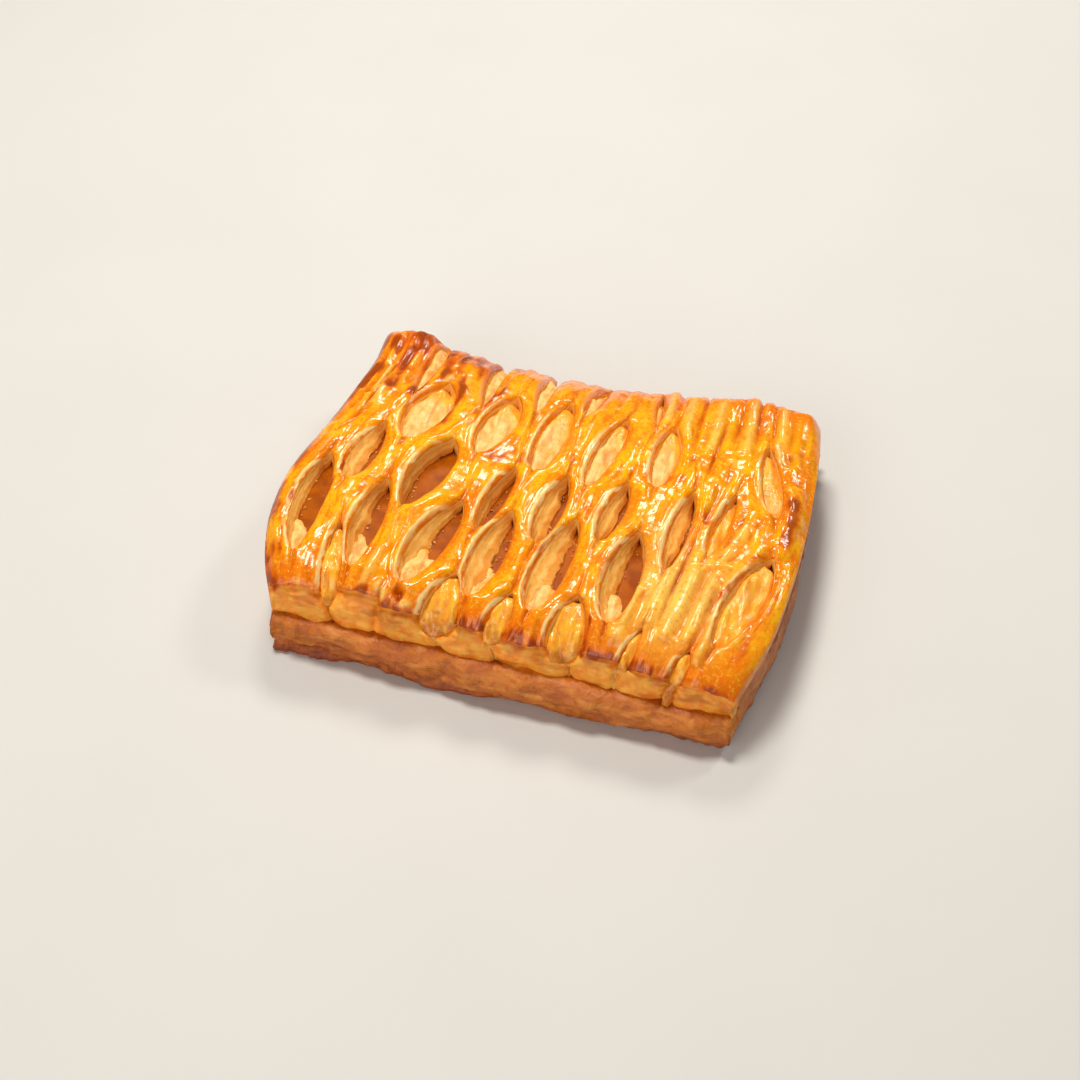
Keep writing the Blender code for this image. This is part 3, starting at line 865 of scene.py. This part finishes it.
# The glazed crust
YOLK = srgb(255, 182, 0)
ORANGE_YOLK = srgb(255, 146, 0)
OUTER_GLAZE = srgb(236, 112, 0)
DARK_STREAK = srgb(214, 92, 0)
PALE_STREAK = srgb(255, 198, 70)
MOTTLE = srgb(210, 96, 0)
PAINTED_VALLEY_SHADE = srgb(222, 106, 0)
PAINTED_HIGHLIGHT = srgb(255, 216, 112)
PALE_FLECK = srgb(255, 204, 70)
DARK_FLECK = srgb(232, 110, 0)
PAINTED_FOLD_SHADE = srgb(178, 72, 0)
LIP = srgb(240, 128, 0)
FRONT_BEAD_AND_HIGHLIGHT = srgb(255, 228, 156)
BACK_BEAD_AND_HIGHLIGHT = srgb(238, 150, 82)
SCORCHED = srgb(208, 88, 4)
BURNT = srgb(152, 56, 4)
# Its cut walls and the bricks
CUT_EDGE = srgb(244, 146, 30)
CREAM_LAYER = srgb(255, 211, 118)
TAN_LAYER = srgb(255, 186, 80)
LAYER_PATCH = srgb(238, 150, 50)
LAYER_SEAM = srgb(222, 134, 40)
PAINTED_WALL_FOOT_SHADE = srgb(216, 126, 24)
PALE_BRICK = srgb(255, 178, 62)
BRICK = srgb(252, 142, 32)
BRICK_BLOTCH = srgb(196, 98, 12)
# The dough of the base
SKIN = srgb(210, 118, 20)
DARK_SKIN = srgb(180, 88, 6)
SKIN_SPOT = srgb(170, 78, 12)
SKIN_LAYER = srgb(244, 166, 66)
LOW_SKIN = srgb(200, 104, 20)
DARK_LOW_SKIN = srgb(150, 64, 8)
CREAM = srgb(255, 214, 132)
DARK_CREAM = srgb(250, 178, 78)
CREAM_STREAK = srgb(222, 140, 54)
# Dough soaked with glaze or filling, also used as painted shade on the slits' floors
MOIST = srgb(255, 190, 44)
DARK_MOIST = srgb(252, 152, 12)
MOIST_STREAK = srgb(214, 104, 4)
MOIST_TIP = srgb(206, 96, 10)
CHARRED = srgb(150, 60, 6)
# The filling and the floor
JELLY = srgb(172, 88, 0)
DEEP_JELLY = srgb(146, 68, 0)
FLOOR = srgb(216, 215, 213)
DARK_FLOOR = srgb(210, 209, 207)
# The sockets of a mix node's colours and result
MIX_FIRST = 6
MIX_SECOND = 7
MIX_RESULT = 2


class Shader:
    """A new material and short ways of adding nodes to it."""

    def __init__(self, name):
        self.material = bpy.data.materials.new(name)
        self.material["slot"] = name
        self.material.use_nodes = True
        self.tree = self.material.node_tree
        self.surface = self.tree.nodes["Principled BSDF"]
        self.place = self.node("ShaderNodeNewGeometry").outputs["Position"]

    def node(self, kind, inputs=None, **settings):
        """A new node with its settings and inputs."""
        made = self.tree.nodes.new(kind)
        for key, value in settings.items():
            setattr(made, key, value)
        for key, value in (inputs or {}).items():
            self.join(value, made.inputs[key])
        return made

    def join(self, value, socket):
        if isinstance(value, bpy.types.NodeSocket):
            self.tree.links.new(value, socket)
        else:
            socket.default_value = value

    def look(self, name):
        """One of the point attributes that the mesh carries."""
        return self.node("ShaderNodeAttribute", attribute_name=name).outputs["Fac"]

    def scaled_place(self, scale):
        return self.node("ShaderNodeMapping", {"Vector": self.place, "Scale": scale}).outputs["Vector"]

    def noise_at(self, place, detail, distortion=0):
        inputs = {"Vector": place, "Scale": 1, "Detail": detail, "Distortion": distortion}
        return self.node("ShaderNodeTexNoise", inputs).outputs["Fac"]

    def noise(self, size, detail=4, stretch=(1, 1, 1), distortion=0):
        """Noise whose largest lumps are of a size in millimetres."""
        place = self.scaled_place([share / (size * MM) for share in stretch])
        return self.noise_at(place, detail, distortion)

    def drawn_out(self, size, length, detail=4):
        """Noise drawn out along the strips, from the mesh's places across and along."""
        across = self.math("DIVIDE", self.look("across"), size)
        along = self.math("DIVIDE", self.look("along"), length)
        place = self.node("ShaderNodeCombineXYZ", {"X": across, "Y": along})
        return self.noise_at(place.outputs["Vector"], detail)

    def beads(self, size):
        """Small round beads at a spacing in millimetres, 1 at their middles."""
        inputs = {"Vector": self.scaled_place([1 / (size * MM)] * 3), "Scale": 1.0}
        return self.ramp(self.node("ShaderNodeTexVoronoi", inputs).outputs["Distance"], 0.32, 0)

    def ramp(self, value, low, high, to_low=0, to_high=1):
        inputs = {"Value": value, "From Min": low, "From Max": high, "To Min": to_low, "To Max": to_high}
        return self.node("ShaderNodeMapRange", inputs, interpolation_type="SMOOTHSTEP").outputs["Result"]

    def math(self, operation, a, b=0):
        return self.node("ShaderNodeMath", {0: a, 1: b}, operation=operation).outputs[0]

    def times(self, a, b):
        return self.math("MULTIPLY", a, b)

    def mix(self, share, a, b):
        """Colour a where the share is 0 and b where it is 1."""
        inputs = {"Factor": share, MIX_FIRST: a, MIX_SECOND: b}
        made = self.node("ShaderNodeMix", inputs, data_type="RGBA", clamp_factor=True)
        return made.outputs[MIX_RESULT]

    def tint(self, colour, other, value, low, high, share=1):
        """The colour where the value is low, with a share of the other where it is high."""
        return self.mix(self.ramp(value, low, high, 0, share), colour, other)

    def bump(self, height, distance, normal=None):
        """Relief of a height in millimetres."""
        made = self.node("ShaderNodeBump", {"Distance": distance * MM, "Height": height})
        if normal:
            self.join(normal, made.inputs["Normal"])
        return made.outputs["Normal"]

    def set(self, name, value):
        self.join(value, self.surface.inputs[name])

    def scatter(self, weight, radius, scale):
        """Light that seeps through the surface, with a scale in millimetres."""
        self.set("Subsurface Weight", weight)
        self.set("Subsurface Radius", radius)
        self.set("Subsurface Scale", scale * MM)


def glazed_top(m):
    """The egg glaze: streaked, with a painted highlight where it is palest, painted shade in hollows and
    folds, and beaded and browned along the lips, the bead partly a painted highlight.
    """
    lip, along = m.look("lip"), m.look("along")
    drawn = m.drawn_out(2.4, 11)
    golden = m.tint(YOLK, ORANGE_YOLK, m.noise(7, distortion=1), 0.38, 0.66)
    golden = m.tint(golden, OUTER_GLAZE, m.math("ABSOLUTE", along), 30, 49, 0.9)
    golden = m.tint(golden, DARK_STREAK, drawn, 0.52, 0.66, 0.6)
    golden = m.tint(golden, PALE_STREAK, drawn, 0.44, 0.3, 0.45)
    golden = m.tint(golden, MOTTLE, m.noise(2.2, detail=6), 0.58, 0.8, 0.4)
    # Painted shade where the crust lies low
    golden = m.mix(m.times(m.look("painted_valley_shade"), 0.6), golden, PAINTED_VALLEY_SHADE)
    # A pale painted highlight right of the middle and on the tops of shallower ridges
    golden = m.mix(m.times(m.look("painted_highlight"), 0.9), golden, PAINTED_HIGHLIGHT)
    golden = m.tint(golden, PALE_FLECK, m.noise(0.8, detail=3), 0.52, 0.66, 0.4)
    golden = m.tint(golden, DARK_FLECK, m.noise(1, detail=3), 0.46, 0.36, 0.4)
    # Painted shade in folds and along the right lips
    golden = m.mix(m.times(m.look("lines"), 0.85), golden, PAINTED_FOLD_SHADE)
    golden = m.tint(golden, LIP, lip, 0.3, 0, 0.7)
    # A bead of cream cut dough along the left lips, its pale colour partly a painted highlight, browner
    # towards the back
    bead = m.times(m.ramp(lip, 1.7, 1), m.ramp(lip, 0.15, 0.45))
    bead = m.times(bead, m.ramp(m.drawn_out(3, 9), 0.38, 0.56, 0.1, 0.8))
    return m.mix(bead, golden, m.tint(FRONT_BEAD_AND_HIGHLIGHT, BACK_BEAD_AND_HIGHLIGHT, along, 10, 30))


def plain_bricks(m):
    plain = m.tint(PALE_BRICK, BRICK, m.noise(2.2, detail=6), 0.35, 0.7)
    blotches = m.noise(4, detail=5, stretch=(0.5, 1, 1.6))
    return m.tint(plain, BRICK_BLOTCH, blotches, 0.5, 0.68, 0.7)


def cut_layers(m, level):
    """The thin layers of the cut walls, with painted shade at their foot."""
    place = m.math("ADD", m.times(level, 5), m.times(m.drawn_out(2, 4), 4))
    layer = m.math("PINGPONG", place, 1)
    layered = m.tint(CREAM_LAYER, TAN_LAYER, layer, 0.1, 0.9)
    layered = m.tint(layered, LAYER_PATCH, m.noise(1.6, detail=5), 0.5, 0.75, 0.4)
    layered = m.tint(layered, LAYER_SEAM, layer, 0.88, 1, 0.2)
    # Painted shade towards the foot of the walls, deep in the slits
    return m.tint(layered, PAINTED_WALL_FOOT_SHADE, level, 0.45, 0, 0.6)


def crust_relief(m):
    relief = m.bump(m.drawn_out(2.2, 8, detail=1), 0.2)
    relief = m.bump(m.noise(1.8, detail=2), 0.08, relief)
    relief = m.bump(m.noise(0.7, detail=2), 0.025, relief)
    return m.bump(m.times(m.beads(1.1), m.ramp(m.noise(7, detail=1), 0.5, 0.64)), 0.08, relief)


def make_crust_material():
    """Egg-glazed crust on top, cream layers on the cut walls and plain baked dough on the bricks."""
    m = Shader("glazed_crust")
    glaze, level = m.look("glaze"), m.look("level")
    colour = m.mix(glaze, plain_bricks(m), glazed_top(m))
    colour = m.tint(colour, CUT_EDGE, level, 0.995, 0.97)
    colour = m.tint(colour, cut_layers(m, level), level, 0.97, 0.93)
    brown = m.times(m.look("brown"), m.ramp(level, 0.7, 0.95))
    scorched = m.tint(SCORCHED, BURNT, brown, 0.6, 1.25)
    m.set("Base Color", m.tint(colour, scorched, brown, 0.15, 0.9, 0.92))
    gloss = m.math("ADD", glaze, m.ramp(m.drawn_out(3, 9), 0.3, 0.7, -0.3, 0.1))
    gloss = m.math("SUBTRACT", gloss, m.times(m.look("painted_highlight"), 0.4))
    m.set("Roughness", m.ramp(gloss, 0, 1, 0.45, 0.13))
    m.set("IOR", 1.45)
    m.scatter(0.15, (1, 0.4, 0.12), 2)
    m.set("Normal", crust_relief(m))
    return m.material


def baked_skin(m, fine):
    """The skin of the base's sides, darker low down."""
    skin = m.tint(SKIN, DARK_SKIN, m.noise(7), 0.35, 0.7)
    skin = m.tint(skin, SKIN_SPOT, fine, 0.5, 0.72, 0.7)
    layers = m.noise(1.8, detail=4, stretch=(0.25, 0.25, 1.4))
    skin = m.tint(skin, SKIN_LAYER, layers, 0.52, 0.36, 0.35)
    low = m.math("ADD", m.look("low"), m.ramp(m.noise(5), 0.3, 0.7, -0.4, 0.4))
    # Darker towards the foot of the sides
    return m.tint(skin, m.tint(LOW_SKIN, DARK_LOW_SKIN, fine, 0.35, 0.7), low, 0.3, 1)


def pale_dough(m):
    cream = m.tint(CREAM, DARK_CREAM, m.noise(3, detail=6), 0.35, 0.7)
    return m.tint(cream, CREAM_STREAK, m.drawn_out(1.4, 9), 0.5, 0.66, 0.6)


def moist_and_shaded_dough(m, fine):
    """Dough soaked with glaze or filling, browner at the front; its colours also give the slits' floors
    their painted shade.
    """
    moist = m.tint(MOIST, DARK_MOIST, m.drawn_out(1.4, 8), 0.35, 0.7)
    moist = m.tint(moist, MOIST_STREAK, m.drawn_out(1, 5), 0.52, 0.68, 0.6)
    along = m.math("ADD", m.look("along"), m.ramp(fine, 0.3, 0.7, -4, 4))
    return m.tint(moist, MOIST_TIP, along, -44, -54, 0.75)


def make_dough_material():
    m = Shader("baked_dough")
    wet_and_shade = m.look("wet_and_shade")
    fine = m.noise(2, detail=6)
    colour = m.mix(m.look("pale"), baked_skin(m, fine), pale_dough(m))
    # Soaked dough, and painted shade on the slits' floors
    colour = m.tint(colour, moist_and_shaded_dough(m, fine), wet_and_shade, 0.1, 0.9, 0.85)
    m.set("Base Color", m.tint(colour, CHARRED, m.look("brown"), 0.1, 1, 0.9))
    m.set("Roughness", m.ramp(wet_and_shade, 0.1, 0.9, 0.46, 0.16))
    m.scatter(0.15, (1, 0.5, 0.2), 2)
    rough = m.times(m.noise(2.2, detail=7, distortion=0.8), m.ramp(wet_and_shade, 0.1, 0.9, 1, 0.35))
    m.set("Normal", m.bump(m.noise(0.4, detail=3), 0.04, m.bump(rough, 0.6)))
    return m.material


def make_jelly_material():
    m = Shader("fruit_jelly")
    m.set("Base Color", m.tint(JELLY, DEEP_JELLY, m.noise(4), 0.35, 0.7))
    m.set("Roughness", 0.4)
    m.set("Specular IOR Level", 0.08)
    m.scatter(0.2, (1, 0.35, 0.05), 3)
    m.set("Normal", m.bump(m.noise(2.2, detail=4), 0.1))
    return m.material


def make_floor_material():
    m = Shader("pale_floor")
    m.set("Base Color", m.mix(m.noise(60), FLOOR, DARK_FLOOR))
    m.set("Roughness", 0.7)
    return m.material


# ---- the stage ----

FLOOR_SIZE = 3000.0
SENSOR_WIDTH = 36.0
LENS = 63.3
CAMERA_PLACE = (94.5 - MIDDLE_SHIFT, -317, 365.3)
CAMERA_WAY = (-0.1952, 0.6468, -0.7373)
LIT_PLACE = (0, 0, 10)
# Lights: name, direction from the loaf, distance, size, power and colour
LIGHTS = [
    ("key", (-0.20, 0.14, 0.97), 900, 260, 5.3, (1, 0.95, 0.86)),
    ("back_right", (0.43, 0.60, 0.68), 1000, 170, 1.8, (1, 0.95, 0.88)),
    ("back", (-0.18, 0.66, 0.72), 1000, 220, 3, (1, 0.94, 0.84)),
    ("front_fill", (-0.20, -0.84, 0.50), 1100, 900, 4.8, (1, 0.95, 0.88)),
]
SKY = (1, 0.96, 0.92, 1)
SKY_STRENGTH = 0.13


def make_floor():
    bm = bmesh.new()
    bmesh.ops.create_grid(bm, x_segments=1, y_segments=1, size=FLOOR_SIZE / 2 * MM)
    mesh = bpy.data.meshes.new("floor")
    bm.to_mesh(mesh)
    bm.free()
    mesh.materials.append(make_floor_material())
    floor = bpy.data.objects.new("floor", mesh)
    bpy.context.scene.collection.objects.link(floor)


def aim(thing, place, target):
    """Puts a light or camera at a place in millimetres, looking at a target."""
    place, target = Vector(place) * MM, Vector(target) * MM
    thing.location = place
    thing.rotation_mode = "QUATERNION"
    thing.rotation_quaternion = (target - place).to_track_quat("-Z", "Y")
    bpy.context.scene.collection.objects.link(thing)


def make_camera():
    data = bpy.data.cameras.new("camera")
    data.sensor_width = SENSOR_WIDTH
    data.lens = LENS
    data.clip_start = 10 * MM
    data.clip_end = 10.0
    camera = bpy.data.objects.new("camera", data)
    place = Vector(CAMERA_PLACE)
    aim(camera, place, place + Vector(CAMERA_WAY) * 100)
    bpy.context.scene.camera = camera


def make_light(name, direction, distance, size, power, colour):
    data = bpy.data.lights.new(name, "AREA")
    data.shape = "DISK"
    data.size = size * MM
    data.energy = power
    data.color = colour
    aim(bpy.data.objects.new(name, data), Vector(direction).normalized() * distance, LIT_PLACE)


def make_lights():
    for light in LIGHTS:
        make_light(*light)
    world = bpy.data.worlds.new("studio")
    world.use_nodes = True
    background = world.node_tree.nodes["Background"]
    background.inputs["Color"].default_value = SKY
    background.inputs["Strength"].default_value = SKY_STRENGTH
    bpy.context.scene.world = world
    bpy.context.scene.view_settings.view_transform = "Standard"


make_lattice(make_crust_material())
dough = make_dough_material()
make_base(dough)
make_crumbs(dough)
make_filling(make_jelly_material())
make_floor()
make_camera()
make_lights()
